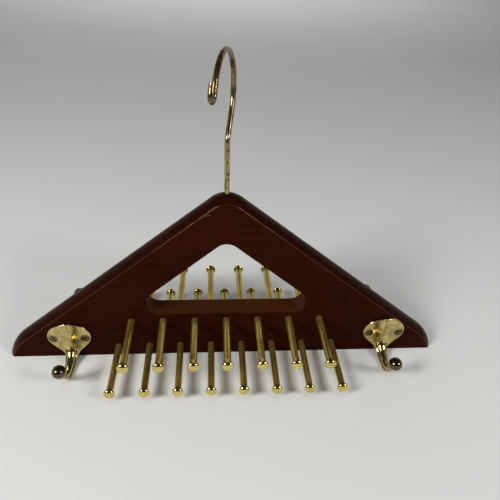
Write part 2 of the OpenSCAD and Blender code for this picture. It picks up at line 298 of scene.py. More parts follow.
def stained_wood(s, name="stained wood", wear_and_painted_light=1.0, gloss=0.3, index=1.12):
    """Dark stain over close grain that runs along the board, under a thin satin varnish."""
    m, t, shader, obj = material(name, 0.0, 0.3)
    broad = noise(t, obj, (5.0, 14.0, 26.0), 5.0, 0.55, 0.6)
    fine = noise(t, obj, (26.0, 260.0, 760.0), 7.0, 0.62, 0.15)
    pores = noise(t, obj, (110.0, 900.0, 1900.0), 2.0, 0.6)
    uneven = noise(t, mapped(t, obj, (1.0, 1.0, 1.6)), 55.0, 2.0)
    # The colour share scales the whole stain: on the arris it lightens it, partly for wear and partly as a
    # painted highlight, and on the crown it darkens it as painted shade.
    base = ramp(t, fine, (0.36, shade(s.streak, wear_and_painted_light)), (0.60, shade(s.colour, wear_and_painted_light)))
    tone = ramp(t, broad, (0.3, (0.80, 0.76, 0.74)), (0.7, (1.20, 1.16, 1.12)))
    base = multiply(t, 1.0, base, tone)
    base = multiply(t, 0.8, base, ramp(t, pores, (0.36, (0.42, 0.38, 0.36)), (0.46, WHITE)))
    base = mix(t, opening_mask(t, obj, s), base, multiply(t, 0.6, shade(s.sill_colour), tone))
    feed(t, shader, "Base Color", base)
    feed(t, shader, "Roughness", ramp(t, fine, (0.3, 0.27), (0.7, 0.19)))
    feed(t, shader, "Specular IOR Level", gloss)
    feed(t, shader, "Specular Tint", (1.0, 0.55, 0.42))
    feed(t, shader, "IOR", index)
    bumps(t, shader, (uneven, 0.06, 0.5), (fine, 0.08, 0.08))
    return m


def opening_mask(t, obj, s):
    """One on the sawn walls low in the hand opening, where the stain took less, and zero elsewhere."""
    parts = apart(t, obj)
    side, face = s.opening_width / 2, s.thickness / 2
    beside = span(t, maths(t, "ABSOLUTE", parts["X"]), side + 1 * MM, side + 2 * MM, 1.0, 0.0)
    inner, outer = (face - s.opening_round * share for share in (0.9, 0.2))
    within = span(t, maths(t, "ABSOLUTE", parts["Y"]), inner, outer, 1.0, 0.0)
    low = span(t, parts["Z"], s.sill + 4 * MM, s.sill + 16 * MM, 1.0, 0.0)
    above = maths(t, "GREATER_THAN", parts["Z"], s.sill - 3 * MM)
    walls = maths(t, "MULTIPLY", maths(t, "MULTIPLY", beside, within), low)
    return maths(t, "MULTIPLY", walls, above)


def bare_wood(s):
    """Pale wood that shows where the finish is chipped or scratched."""
    m, t, shader, obj = material("bare wood", 0.0, 0.6)
    fibre = noise(t, obj, (60.0, 500.0, 900.0), 4.0, 0.6)
    feed(t, shader, "Base Color", ramp(t, fibre, (0.3, shade(s.bare, 0.6)), (0.7, shade(s.bare))))
    bumps(t, shader, (fibre, 0.3, 0.05))
    return m


def cloudy(t, obj, colour, tarnish, patch_scale, speck_scale, dirt):
    """The cloudy patches of old brass as noise, and its colour with them and with dark specks."""
    patches = noise(t, obj, patch_scale, 5.0, 0.6, 0.4)
    specks = noise(t, obj, speck_scale, 2.0, 0.6)
    c = ramp(t, patches, (0.34, tarnish), (0.60, shade(colour)))
    return patches, multiply(t, dirt, c, ramp(t, specks, (0.27, (0.40, 0.33, 0.25)), (0.33, WHITE)))


def brass(name, colour, tarnish, roughness, patch_scale, wear_and_painted_light=1.0, marks=MARKS, depth=0.03, dent=0.04):
    """Polished brass with cloudy patches, dark specks, fine marks and a slightly uneven surface."""
    m, t, shader, obj = material(name, 1.0, roughness)
    patches, c = cloudy(t, obj, colour, tarnish, patch_scale, patch_scale * 5.0, min(1.0, 0.7 * wear_and_painted_light))
    feed(t, shader, "Base Color", c)
    feed(t, shader, "Roughness", ramp(t, patches, (0.34, min(1.0, roughness + 0.07)), (0.64, roughness)))
    scratches = noise(t, obj, marks, 3.0, 0.6)
    bumps(t, shader, (scratches, depth * wear_and_painted_light, 0.02), (patches, dent * wear_and_painted_light, 0.12))
    return m


def peg_brass(s, face):
    """Drawn brass rod with marks along it, whose colour streaks are partly those marks and partly painted
    reflection, and a brighter turned head.
    """
    m, t, shader, obj = material("peg brass", 1.0, 0.1)
    patches, c = cloudy(t, obj, s.colour, shade(s.colour, 0.74), 70.0, 760.0, 0.6)
    neck = face + s.length - s.head_length
    rod = span(t, maths(t, "ABSOLUTE", apart(t, obj)["Y"]), neck - 0.4 * MM, neck + 0.4 * MM, 1.0, 0.0)
    drawn = noise(t, obj, (1300.0, 7.0, 1300.0), 3.0, 0.6)
    # Darker and lighter streaks in the shaft's colour: partly drawing marks, partly painted reflection.
    streak = ramp(t, drawn, (0.42, (0.44, 0.30, 0.12)), (0.56, (1.0, 0.86, 0.62)))
    streaked = maths(t, "MULTIPLY", rod, ramp(t, patches, (0.3, 0.9), (0.7, 0.6)))
    feed(t, shader, "Base Color", mix(t, streaked, c, multiply(t, 1.0, c, streak)))
    feed(t, shader, "Roughness", ramp(t, rod, (0.0, 0.07), (1.0, 0.26)))
    feed(t, shader, "Metallic", ramp(t, rod, (0.0, 1.0), (1.0, 0.84)))
    bumps(t, shader, (maths(t, "MULTIPLY", drawn, rod), 0.35, 0.02), (patches, 0.03, 0.12))
    return m


def wire_brass(s):
    """Brass wire, clean low on the shank and dark brown above it, partly tarnish from handling and partly
    painted shade, with small pits.
    """
    m, t, shader, obj = material("wire brass", 1.0, 0.11)
    clouds = noise(t, obj, 48.0, 3.0, 0.55, 0.3)
    pits = noise(t, mapped(t, obj, (1.0, 1.0, 0.5)), 360.0, 2.0, 0.6)
    run = noise(t, obj, (520.0, 520.0, 26.0), 3.0, 0.6)
    # Higher on the wire the colour turns dark brown: partly tarnish from handling, partly painted shade.
    handled_and_shaded = span(t, apart(t, obj)["Z"], CLEAN_BELOW * MM, BROWNED_AND_SHADED_ABOVE * MM)
    low = ramp(t, clouds, (0.34, shade(s.colour, 0.62)), (0.60, shade(s.colour)))
    high = ramp(t, clouds, (0.34, shade(s.browned, 0.68)), (0.64, shade(s.browned, 1.1)))
    c = mix(t, handled_and_shaded, low, high)
    c = multiply(t, 0.9, c, ramp(t, pits, (0.37, (0.20, 0.15, 0.10)), (0.42, WHITE)))
    # Dark streaks along the wire: partly tarnish and partly painted shade.
    c = multiply(t, 0.85, c, ramp(t, run, (0.40, (0.36, 0.28, 0.18)), (0.56, WHITE)))
    feed(t, shader, "Base Color", c)
    feed(t, shader, "Metallic", ramp(t, handled_and_shaded, (0.0, 1.0), (1.0, 0.9)))
    feed(t, shader, "Roughness", ramp(t, clouds, (0.34, 0.20), (0.64, 0.13)))
    bumps(t, shader, (pits, 0.02, 0.05), (clouds, 0.01, 0.15))
    return m


def pale_floor(s):
    """Matt floor whose tone changes a little."""
    m, t, shader, obj = material("pale floor", 0.0, 0.9)
    ends = (0.3, shade(s.floor_colour, 0.965)), (0.7, shade(s.floor_colour))
    feed(t, shader, "Base Color", ramp(t, noise(t, obj, 3.0, 3.0), *ends))
    feed(t, shader, "Specular IOR Level", 0.1)
    return m


# Mesh helpers


def new_object(name, data, mat=None):
    o = bpy.data.objects.new(name, data)
    bpy.context.scene.collection.objects.link(o)
    if mat is not None:
        data.materials.append(mat)
    return o


@contextmanager
def edited(mesh):
    """The mesh as a bmesh, which is written back at the end."""
    bm = bmesh.new()
    bm.from_mesh(mesh)
    yield bm
    bm.to_mesh(mesh)
    bm.free()


def smooth(mesh, angle=40.0):
    """Smooth faces, with the edges that turn by more than the angle left sharp."""
    for p in mesh.polygons:
        p.use_smooth = True
    mesh.set_sharp_from_angle(angle=math.radians(angle))


def rings_mesh(name, rings, wrap=False, caps=True):
    """A mesh through closed rings of points that all have the same number of points."""
    count = len(rings[0])
    faces = []
    for j in range(len(rings) if wrap else len(rings) - 1):
        a, b = j * count, ((j + 1) % len(rings)) * count
        for i in range(count):
            n = (i + 1) % count
            faces.append((a + i, a + n, b + n, b + i))
    if caps and not wrap:
        last = (len(rings) - 1) * count
        faces.append(tuple(range(count - 1, -1, -1)))
        faces.append(tuple(last + i for i in range(count)))
    mesh = bpy.data.meshes.new(name)
    mesh.from_pydata([tuple(v) for ring in rings for v in ring], [], faces)
    return mesh


def clean(mesh):
    """Merges a mesh's doubles and turns its faces outward."""
    with edited(mesh) as bm:
        bmesh.ops.remove_doubles(bm, verts=bm.verts, dist=MERGE)
        bmesh.ops.dissolve_degenerate(bm, edges=bm.edges, dist=MERGE)
        bmesh.ops.recalc_face_normals(bm, faces=bm.faces)
    mesh.update()
    return mesh


def solid(name, rings, **how):
    return clean(rings_mesh(name, rings, **how))


def scaled(mesh):
    """A mesh in millimetres brought to metres."""
    mesh.transform(Matrix.Scale(MM, 4))
    return mesh


def moved(mesh, x, y, z):
    mesh.transform(Matrix.Translation((x, y, z)))
    return mesh


def circle(radius, height, sides):
    turns = (2 * math.pi * k / sides for k in range(sides))
    return [(radius * math.cos(a), radius * math.sin(a), height) for a in turns]


def lathe(name, profile, sides=48):
    """A turned solid round Z from (radius, height) points, closed where the radius is zero."""
    return solid(name, [circle(r, z, sides) for r, z in profile], caps=False)


def arc_points(cx, cz, r, start, end, count):
    """count points from start to end, both included, in degrees."""
    turns = (math.radians(start + (end - start) * k / (count - 1)) for k in range(count))
    return [(cx + r * math.cos(a), cz + r * math.sin(a)) for a in turns]


def between(a, b, count):
    """count points strictly between a and b."""
    return [tuple(p + (q - p) * (k + 1) / (count + 1) for p, q in zip(a, b)) for k in range(count)]


def bezier(p0, p1, p2, p3, count):
    out = []
    for k in range(count + 1):
        t = k / count
        w = ((1 - t) ** 3, 3 * (1 - t) ** 2 * t, 3 * (1 - t) * t * t, t**3)
        out.append(tuple(sum(a * b for a, b in zip(w, c)) for c in zip(p0, p1, p2, p3)))
    return out


def tangent(points, i):
    """Direction of a line at its point i, as a unit vector."""
    a, b = points[max(i - 1, 0)], points[min(i + 1, len(points) - 1)]
    du, dz = b[0] - a[0], b[1] - a[1]
    run = math.hypot(du, dz)
    return du / run, dz / run


def finished(o, name):
    """A plain mesh object with the modifiers' result, in place of the object with modifiers."""
    dg = bpy.context.evaluated_depsgraph_get()
    dg.update()
    shape = o.evaluated_get(dg)
    mesh = bpy.data.meshes.new_from_object(shape, preserve_all_data_layers=True, depsgraph=dg)
    drop([o])
    mesh.name = name
    return new_object(name, mesh)


def modify(o, kind, **settings):
    m = o.modifiers.new(kind.lower(), kind)
    for key, value in settings.items():
        setattr(m, key, value)
    return m


def cut(o, cutters, materials="INDEX"):
    for c in cutters:
        modify(o, "BOOLEAN", material_mode=materials, operation="DIFFERENCE", solver="EXACT", object=c)


def drop(objects):
    for c in objects:
        bpy.data.objects.remove(c)


def side_of(name):
    """Minus one for what is on the front and one for what is on the rear, as the sides lie along Y."""
    return -1 if name.startswith("front") else 1


def node_box(name):
    """Lowest and highest corner of a CAD node, in millimetres."""
    return tuple(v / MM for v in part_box(name))


# Geometry Nodes. LEAN_SEED keeps a row's leans apart from its turns

LEAN_SEED = 11.0


def node_group(name, **inputs):
    """A Geometry Nodes tree with the named inputs, and the sockets that bring them in."""
    g = bpy.data.node_groups.new(name, "GeometryNodeTree")
    g.interface.new_socket("Geometry", in_out="OUTPUT", socket_type="NodeSocketGeometry")
    for label, kind in {"Geometry": "Geometry", **inputs}.items():
        g.interface.new_socket(label, in_out="INPUT", socket_type="NodeSocket" + kind)
    return g, g.nodes.new("NodeGroupInput").outputs


def end_group(g, given, geometry):
    """Ends a tree in Realize Instances and Set Material."""
    real = node(g, "GeometryNodeRealizeInstances", {"Geometry": geometry}).outputs[0]
    paint = node(g, "GeometryNodeSetMaterial", {"Geometry": real, "Material": given["Material"]})
    node(g, "NodeGroupOutput", {"Geometry": paint.outputs[0]})
    return g


def with_nodes(o, group, **values):
    m = modify(o, "NODES", node_group=group)
    for item in group.interface.items_tree:
        if item.item_type == "SOCKET" and item.in_out == "INPUT" and item.name in values:
            m[item.identifier] = values[item.name]


def row_tree():
    """Repeats one fastening along a line, each a little different, and turns the row to its side."""
    place = {"First": "Vector", "Step": "Vector", "Face": "Vector"}
    change = {"Spin": "Float", "Tilt": "Float", "Seed": "Int"}
    g, given = node_group(
        "fastening row", Fastening="Object", Count="Int", **place, **change, Material="Material"
    )
    feeds = {"Count": given["Count"], "Start Location": given["First"], "Offset": given["Step"]}
    points = node(g, "GeometryNodeMeshLine", feeds).outputs["Mesh"]
    part = node(g, "GeometryNodeObjectInfo", {"Object": given["Fastening"]}).outputs["Geometry"]
    back = maths(g, "MULTIPLY", given["Spin"], -1.0)
    feeds = {"Min": back, "Max": given["Spin"], "Seed": given["Seed"]}
    spin = live(node(g, "FunctionNodeRandomValue", feeds, data_type="FLOAT").outputs)
    other_seed = maths(g, "ADD", given["Seed"], LEAN_SEED)
    feeds = {"Min": (-1.0, -1.0, 0.0), "Max": (1.0, 1.0, 0.0), "Seed": other_seed}
    lean = live(node(g, "FunctionNodeRandomValue", feeds, data_type="FLOAT_VECTOR").outputs)
    tilt = node(g, "ShaderNodeVectorMath", {"Vector": lean, "Scale": given["Tilt"]}, operation="SCALE")
    about = node(g, "ShaderNodeCombineXYZ", {"Z": spin})
    angles = node(g, "ShaderNodeVectorMath", {0: tilt.outputs[0], 1: about.outputs[0]})
    own = node(g, "FunctionNodeEulerToRotation", {"Euler": angles.outputs[0]})
    facing = node(g, "FunctionNodeEulerToRotation", {"Euler": given["Face"]})
    feeds = {"Rotation": facing.outputs[0], "Rotate By": own.outputs[0]}
    turn = node(g, "FunctionNodeRotateRotation", feeds, rotation_space="LOCAL")
    feeds = {"Points": points, "Instance": part, "Rotation": turn.outputs[0]}
    return end_group(g, given, node(g, "GeometryNodeInstanceOnPoints", feeds).outputs[0])


def place_row(name, tree, part, mat, count, first, step, tilt, seed):
    """One row of fastenings as a plain mesh object, facing away from the board on its side."""
    carrier = new_object(name + "_row", bpy.data.meshes.new(name + "_row"))
    way = (math.pi / 2, 0.0, 0.0 if first[1] < 0 else math.pi)
    made = {"Fastening": part, "Count": count, "First": first, "Step": (step, 0.0, 0.0)}
    with_nodes(carrier, tree, **made, Face=way, Spin=math.pi, Tilt=tilt, Seed=seed, Material=mat)
    return finished(carrier, name)


def wire_tree():
    """Gives a line its round wire, with closed ends."""
    g, given = node_group("bent wire", Radius="Float", Sides="Int", Material="Material")
    feeds = {"Resolution": given["Sides"], "Radius": given["Radius"]}
    section = node(g, "GeometryNodeCurvePrimitiveCircle", feeds).outputs["Curve"]
    feeds = {"Curve": given["Geometry"], "Profile Curve": section, "Fill Caps": True}
    return end_group(g, given, node(g, "GeometryNodeCurveToMesh", feeds).outputs["Mesh"])


# Board. Its lengths are in millimetres. STRIP is the flat strip beside each rounded edge, and WAY_DOWN is
# how far the washer's seat is cut down, through the hand opening

CORNER_STEPS, TOP_STEPS, SLOPE_STEPS, FOOT_STEPS = 30, 33, 34, 60
CROWN_STEPS, ARRIS_STEPS, EDGE_STEPS, FACE_STEPS = 8, 4, 4, 5
UNDER_FLOOR, STRIP = -6.0, 0.5
BUSH_GAP, WASHER_GAP, WAY_DOWN = 0.08, 0.05, 30


def board_sizes(s):
    """The slope of the board's edges in degrees, and the places of its arcs' centres and of its top."""
    half = s.width / 2
    slope = math.atan2(s.peak, half + s.end_cut)
    tan = math.tan(slope)
    apex_z = s.peak - s.apex_radius / math.cos(slope)
    a = s.peak - s.end_radius / math.cos(slope)
    b = half + a * tan
    k = 1 + tan * tan
    end_x = (b - math.sqrt(b * b - k * (half * half + a * a - s.end_radius * s.end_radius))) / k
    return SimpleNamespace(
        slope=math.degrees(slope),
        apex_z=apex_z,
        apex_top=apex_z + s.apex_radius,
        end=(end_x, a - end_x * tan),
    )


def round_triangle(right, top):
    """A closed outline through the arc of its right corner and of its top, from left to right and round."""
    slope = between(right[-1], top[0], SLOPE_STEPS)
    left, left_slope = ([(-x, z) for x, z in reversed(line)] for line in (right, slope))
    return between(left[-1], right[0], FOOT_STEPS) + right + slope + top + left_slope + left


def outer_loop(s, d, inset):
    """The board's outline drawn in by inset, with its foot under the floor."""
    r, square = s.end_radius - inset, 90 - d.slope
    low = math.degrees(math.asin((UNDER_FLOOR - d.end[1]) / r))
    return round_triangle(
        arc_points(*d.end, r, low, square, CORNER_STEPS),
        arc_points(0, d.apex_z, s.apex_radius - inset, square, 90 + d.slope, TOP_STEPS),
    )


def opening_loop(s, d, grow):
    """The hand opening's outline, widened by grow."""
    r = s.opening_radius
    cx = s.opening_width / 2 - r
    cz = s.sill + r
    crest = d.apex_top - s.top_bar - r
    a = math.degrees(math.atan2(crest - cz, cx))
    return round_triangle(
        arc_points(cx, cz, r + grow, -90, 90 - a, CORNER_STEPS),
        arc_points(0, crest, r + grow, 90 - a, 90 + a, TOP_STEPS),
    )


def board_rings(s, d):
    """Rings of the board, round its section: outer edge, rear face, opening, front face."""
    half_t = s.thickness / 2
    crown, arris, edge = s.crown_radius, s.arris_radius, s.opening_round
    centre = crown - math.sqrt((crown - arris) ** 2 - (half_t - arris) ** 2)
    meet = math.asin((half_t - arris) / (crown - arris))
    outer = []
    for k in range(CROWN_STEPS + 1):
        a = meet * k / CROWN_STEPS
        outer.append((crown * math.sin(a), crown - crown * math.cos(a)))
    for k in range(1, ARRIS_STEPS + 1):
        a = meet + (math.pi / 2 - meet) * k / ARRIS_STEPS
        outer.append((half_t - arris + arris * math.sin(a), centre - arris * math.cos(a)))
    outer.append((half_t, centre + STRIP))
    inner = [(half_t, edge + STRIP)]
    for k in range(EDGE_STEPS + 1):
        a = math.pi / 2 * k / EDGE_STEPS
        inner.append((half_t - edge + edge * math.cos(a), edge - edge * math.sin(a)))
    rear = [[(x, y, z) for x, z in outer_loop(s, d, inset)] for y, inset in outer]
    hole = [[(x, y, z) for x, z in opening_loop(s, d, grow)] for y, grow in inner]
    rim = rear[-1]
    for k in range(1, FACE_STEPS):
        f = k / FACE_STEPS
        rear.append(
            [((1 - f) * p[0] + f * q[0], half_t, (1 - f) * p[2] + f * q[2]) for p, q in zip(rim, hole[0])]
        )
    rear += hole
    return rear + [[(x, -y, z) for x, y, z in ring] for ring in reversed(rear[1:])]


def board_mesh(s, d, bevel):
    """The board with its foot cut level and rounded. Its materials are the face, the arris, lightened partly
    for wear and partly as a painted highlight, and the crown, darkened as painted shade.
    """
    rings = board_rings(s, d)
    mesh = rings_mesh("board_wood", rings, wrap=True)
    # The crown's faces take the painted shade, and the arris's faces take the partly painted highlight.
    for p in mesh.polygons:
        row = p.index // len(rings[0])
        row = min(row, len(rings) - 1 - row)
        p.material_index = 2 if row < CROWN_STEPS else 1 if row < CROWN_STEPS + ARRIS_STEPS else 0
    clean(scaled(mesh))
    with edited(mesh) as bm:
        made = bmesh.ops.bisect_plane(
            bm,
            geom=bm.verts[:] + bm.edges[:] + bm.faces[:],
            plane_co=(0, 0, 0),
            plane_no=(0, 0, 1),
            clear_inner=True,
        )
        rim = [e for e in made["geom_cut"] if isinstance(e, bmesh.types.BMEdge)]
        bmesh.ops.contextual_create(bm, geom=rim)
        rim = [e for e in bm.edges if all(abs(v.co.z) < MERGE for v in e.verts)]
        bmesh.ops.bevel(
            bm, geom=rim, offset=bevel, segments=3, profile=0.5, affect="EDGES", clamp_overlap=True
        )
        bmesh.ops.recalc_face_normals(bm, faces=bm.faces)
    return mesh


def swivel_bores(apex_top):
    """Cutters for the bush's seat, the wire's bore, and the washer's seat with the way down to it."""
    bush_lo, bush_hi = node_box("swivel_bush")
    seat_lo, seat_hi = node_box("swivel_washer")
    opening = seat_hi.z - WAY_DOWN
    bores = (
        ((bush_hi.x - bush_lo.x) / 2 + BUSH_GAP, bush_lo.z, apex_top + 5),
        (WIRE_BORE, opening, bush_lo.z + 1),
        ((seat_hi.x - seat_lo.x) / 2 + WASHER_GAP, opening, seat_hi.z),
    )
    made = []
    for radius, low, high in bores:
        tube = solid("bore", [circle(radius, z, 48) for z in (low, high)])
        made.append(new_object("bore", scaled(tube)))
    return made


def wood_marks(front, mat):
    """Thin wedges that chip the front arris near the top and scratch the face between the pegs."""
    marks = (
        ((-18.6, front + 0.1, 158.4), (-14.9, front + 0.1, 160.2), 1.3, 0.6),
        ((-16.4, front + 0.2, 159.9), (-13.2, front + 0.2, 159.6), 0.9, 0.45),
        ((44.0, front, 23.8), (46.6, front, 19.3), 0.28, 0.12),
        ((46.1, front, 23.2), (47.0, front, 21.4), 0.22, 0.10),
    )
    made = []
    for start, end, wide, deep in marks:
        a, b = Vector(start), Vector(end)
        run = (b - a).normalized()
        side = run.cross(Vector((0, 1, 0))).normalized() * wide / 2
        out = Vector((0, -1, 0))
        rings = []
        for k, w in ((0, 0.1), (0.3, 1.0), (0.7, 0.8), (1, 0.1)):
            c = a.lerp(b, k)
            rings.append([c + side * w + out, c - side * w + out, c + Vector((0, deep * w, 0))])
        made.append(new_object("mark", scaled(solid("mark", rings)), mat))
    return made


class TIEHANGER_OT_board(bpy.types.Operator):
    """Build the stained wooden board with its crowned edge and hand opening"""

    bl_idname = "tie_hanger.board"
    bl_label = "Board"

    def execute(self, context):
        settings = context.scene.hanger_board
        s = in_mm(settings)
        d = board_sizes(s)
        mesh = board_mesh(s, d, settings.foot_bevel)
        o = new_object("board_blank", mesh, stained_wood(settings))
        # The arris stain is lightened, partly for wear and partly as a painted highlight, and the crown
        # stain is darkened as painted shade.
        mesh.materials.append(stained_wood(settings, "worn arris", 1.3, 0.65, 1.45))
        mesh.materials.append(stained_wood(settings, "dark crown", 0.72, 0.4, 1.14))
        bores, marks = swivel_bores(d.apex_top), wood_marks(-s.thickness / 2, bare_wood(settings))
        cut(o, bores)
        cut(o, marks, "TRANSFER")
        o = finished(o, "board_wood")
        drop(bores + marks)
        smooth(o.data, 30.0)
        modify(o, "WEIGHTED_NORMAL", keep_sharp=True)
        o = finished(o, "board_wood")
        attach(o, "hanger")
        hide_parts("board")
        return {"FINISHED"}


# Pegs. Their lengths are in millimetres

FOOT_DEPTH, COLLAR = 1.2, 0.12
SHAFT_RINGS = (0.6, 6.0, 14.0, 22.0, 30.0, 38.0, 46.0, 52.0)
HEAD_STEPS = 22


def peg_mesh(s):
    """A turned peg that points along +Z, with its foot a little inside the wood."""
    shaft, head, half_head = s.shaft / 2, s.head / 2, s.head_length / 2
    collar = shaft + COLLAR
    profile = [(0.0, -FOOT_DEPTH), (shaft, -FOOT_DEPTH), (collar, -0.6), (collar, 0.08), (shaft + 0.04, 0.2)]
    profile += [(shaft, z) for z in SHAFT_RINGS]
    middle = s.length - half_head
    neck = math.asin((shaft + 0.08) / head)
    profile.append((shaft, middle - half_head * math.cos(neck) - 0.12))
    for k in range(HEAD_STEPS + 1):
        a = neck + (math.pi - neck) * k / HEAD_STEPS
        profile.append((head * math.sin(a) if k < HEAD_STEPS else 0.0, middle - half_head * math.cos(a)))
    return scaled(lathe("peg", profile))


class TIEHANGER_OT_pegs(bpy.types.Operator):
    """Set the four rows of turned brass pegs into the board"""

    bl_idname = "tie_hanger.pegs"
    bl_label = "Tie pegs"

    def execute(self, context):
        s = context.scene.hanger_pegs
        face = context.scene.hanger_board.thickness / 2
        mat = peg_brass(s, face)
        part = new_object("peg_pattern", peg_mesh(in_mm(s)))
        smooth(part.data)
        tree = row_tree()
        rows = (
            ("front_upper", 7, s.upper),
            ("front_lower", 8, s.lower),
            ("rear_upper", 8, s.upper),
            ("rear_lower", 7, s.lower),
        )
        for i, (name, count, z) in enumerate(rows):
            first = (-s.pitch * (count - 1) / 2, side_of(name) * face, z)
            o = place_row("pegs_" + name, tree, part, mat, count, first, s.pitch, s.tilt, s.seed + i)
            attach(o, "hanger")
            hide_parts(*(f"peg_{name}_{k + 1}" for k in range(count)))
        drop([part])
        return {"FINISHED"}


# Wire hook and swivel. Their lengths are in millimetres

WIRE_STEP, WIRE_SOFTENING = 0.8, 4
WIRE_BORE, BUSH_BORE = 2.7, 2.28
RING_SIDES, LIP_STEPS = 56, 5


def wire_line(s, foot):
    """Points along the wire's middle, in millimetres, as distance in front of the shank and height."""
    lean = math.atan2(s.loop_up, s.loop_out) + math.asin(s.loop_radius / math.hypot(s.loop_out, s.loop_up))
    top = s.bend - s.bend_radius * math.tan((lean - math.pi / 2) / 2)
    deg = math.degrees(lean)
    loop = (s.loop_out, s.bend + s.loop_up)
    end = math.degrees(s.loop_end)
    out = (math.cos(s.loop_end), math.sin(s.loop_end))
    far = s.loop_radius + s.curl_radius
    curl = (loop[0] + far * out[0] + s.tip_run * out[1], loop[1] + far * out[1] - s.tip_run * out[0])
    shank = [(0.0, foot)] + between((0.0, foot), (0.0, top), 10)
    kink = arc_points(-s.bend_radius, top, s.bend_radius, 0, deg - 90, 12)
    back = arc_points(*loop, s.loop_radius, deg + 90, end, 90)
    last = end + 180 + math.degrees(s.curl_turn)
    tip = arc_points(*curl, s.curl_radius, end + 180, last, 40)
    way = math.radians(last)
    tip.append((tip[-1][0] - s.tip * math.sin(way), tip[-1][1] + s.tip * math.cos(way)))
    return even(shank + kink + between(kink[-1], back[0], 5) + back + tip, WIRE_STEP, WIRE_SOFTENING)


def even(points, step, rounds):
    """Points at even steps along a line, with its changes of curvature softened and its ends kept."""
    run = [0.0]
    for a, b in zip(points, points[1:]):
        run.append(run[-1] + math.dist(a, b))
    count = int(run[-1] / step)
    out, i = [], 0
    for k in range(count + 1):
        d = run[-1] * k / count
        while i < len(run) - 2 and run[i + 1] < d:
            i += 1
        f = (d - run[i]) / max(run[i + 1] - run[i], 1e-9)
        out.append(tuple(p + (q - p) * f for p, q in zip(points[i], points[i + 1])))
    for _ in range(rounds):
        inner = [
            tuple((a + 2 * b + c) / 4 for a, b, c in zip(*three)) for three in zip(out, out[1:], out[2:])
        ]
        out = [out[0]] + inner + [out[-1]]
    return out


class TIEHANGER_OT_wire_hook(bpy.types.Operator):
    """Bend the brass wire into the hanging hook and rivet its lower end"""

    bl_idname = "tie_hanger.wire_hook"
    bl_label = "Wire hook"

    def execute(self, context):
        s = context.scene.hanger_wire
        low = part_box("wire_hook")[0].z / MM
        line = wire_line(in_mm(s), low)
        c, t = math.cos(s.turn), math.sin(s.turn)
        curve = bpy.data.curves.new("wire_line", "CURVE")
        curve.dimensions = "3D"
        spline = curve.splines.new("POLY")
        spline.points.add(len(line) - 1)
        for p, (out, z) in zip(spline.points, line):
            p.co = (out * c * MM, out * t * MM, z * MM, 1.0)
        o = new_object("wire_line", curve)
        mat = wire_brass(s)
        with_nodes(o, wire_tree(), Radius=s.wire / 2, Sides=s.sides, Material=mat)
        o = finished(o, "hook_wire")
        clean(o.data)
        profile = [(0.0, 0.0), (2.3, 0.0), (3.1, 0.35), (3.6, 1.0), (3.7, 1.7), (3.6, 2.0), (0.0, 2.0)]
        rivet = moved(scaled(lathe("rivet", profile)), 0, 0, low * MM)
        with edited(o.data) as bm:
            edges = [e for f in bm.faces if len(f.verts) > 4 for e in f.edges]
            bmesh.ops.bevel(bm, geom=edges, offset=0.35 * MM, segments=3, profile=0.6, affect="EDGES")
        with edited(o.data) as bm:
            bm.from_mesh(rivet)
        smooth(o.data)
        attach(o, "hook")
        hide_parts("wire_hook")
        return {"FINISHED"}


class TIEHANGER_OT_swivel(bpy.types.Operator):
    """Turn the bush at the top of the board and the washer under it"""

    bl_idname = "tie_hanger.swivel"
    bl_label = "Swivel"

    def execute(self, context):
        mat = brass("bush brass", (0.80, 0.62, 0.29), (0.30, 0.20, 0.09), 0.36, 300.0, 1.4)
        turns = [math.pi / 2 * k / LIP_STEPS for k in range(LIP_STEPS + 1)]
        for node_name, bore, lip in (("swivel_bush", BUSH_BORE, 0.4), ("swivel_washer", WIRE_BORE, 0.2)):
            lo, hi = node_box(node_name)
            r = (hi.x - lo.x) / 2
            inner, outer, top = bore + lip, r - lip, hi.z - lip
            profile = [(bore, lo.z + lip), (inner, lo.z), (outer, lo.z), (r, lo.z + lip), (r, top)]
            profile += [(outer + lip * math.cos(a), top + lip * math.sin(a)) for a in turns[1:]]
            profile += [(inner - lip * math.sin(a), top + lip * math.cos(a)) for a in turns]
            rings = [circle(q, z, RING_SIDES) for q, z in profile]
            o = new_object(node_name + "_ring", clean(scaled(rings_mesh(node_name, rings, wrap=True))), mat)
            smooth(o.data)
            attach(o, "hanger")
            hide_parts(node_name)
        return {"FINISHED"}


# Coat hooks. Their lengths are in millimetres. HOOK_WAYS says which way along the board each one is moved,
# before a rear one is turned to its side

HOOK_WAYS = {"front_left": -1, "front_right": 1, "rear_left": 1, "rear_right": -1}
ARM_STEPS, PLATE_STEPS, SHRINK_STEPS = 26, 22, 22
FLANGE_TOP = -0.12
VOXEL = 0.3
SINK_MARGIN, SINK_DEPTH, SCREW_HOLE, SCREW_DEPTH, SCREW_SEED = 0.5, 1.15, 1.85, 0.45, 31
SEAM_HALF, SEAM_FLOOR, SEAM_STEEPNESS = 0.9, 1.1, 0.4
EVEN_MARKS = (260.0, 260.0, 260.0)


def hook_x(s, place):
    return HOOK_WAYS[place] * getattr(s, place)


def screw_gap(s):
    """Distance between the two screws of a coat hook, in millimetres."""
    return s.plate_width - 2 * s.screw_in


def plate_edge(s, inset):
    """Right half of the plate's outline from its foot to the notch in its top, drawn in by inset."""
    w, neck, mid, top, low = s.plate_width / 2, s.neck / 2, s.plate_mid, s.plate_top, s.plate_low
    points = bezier((neck, low), (neck + 0.5, low + 8), (w, mid - 11), (w, mid), PLATE_STEPS)
    points += bezier((w, mid), (w, mid + 10), (w / 2, top - 1.5), (1.6, top - 0.2), PLATE_STEPS)[1:]
    points += [(1.0, top - 0.5), (0.45, top - 1.1)]
    out = []
    for i, (x, z) in enumerate(points):
        du, dz = tangent(points, i)
        out.append((x - dz * inset, z + du * inset))
    return out


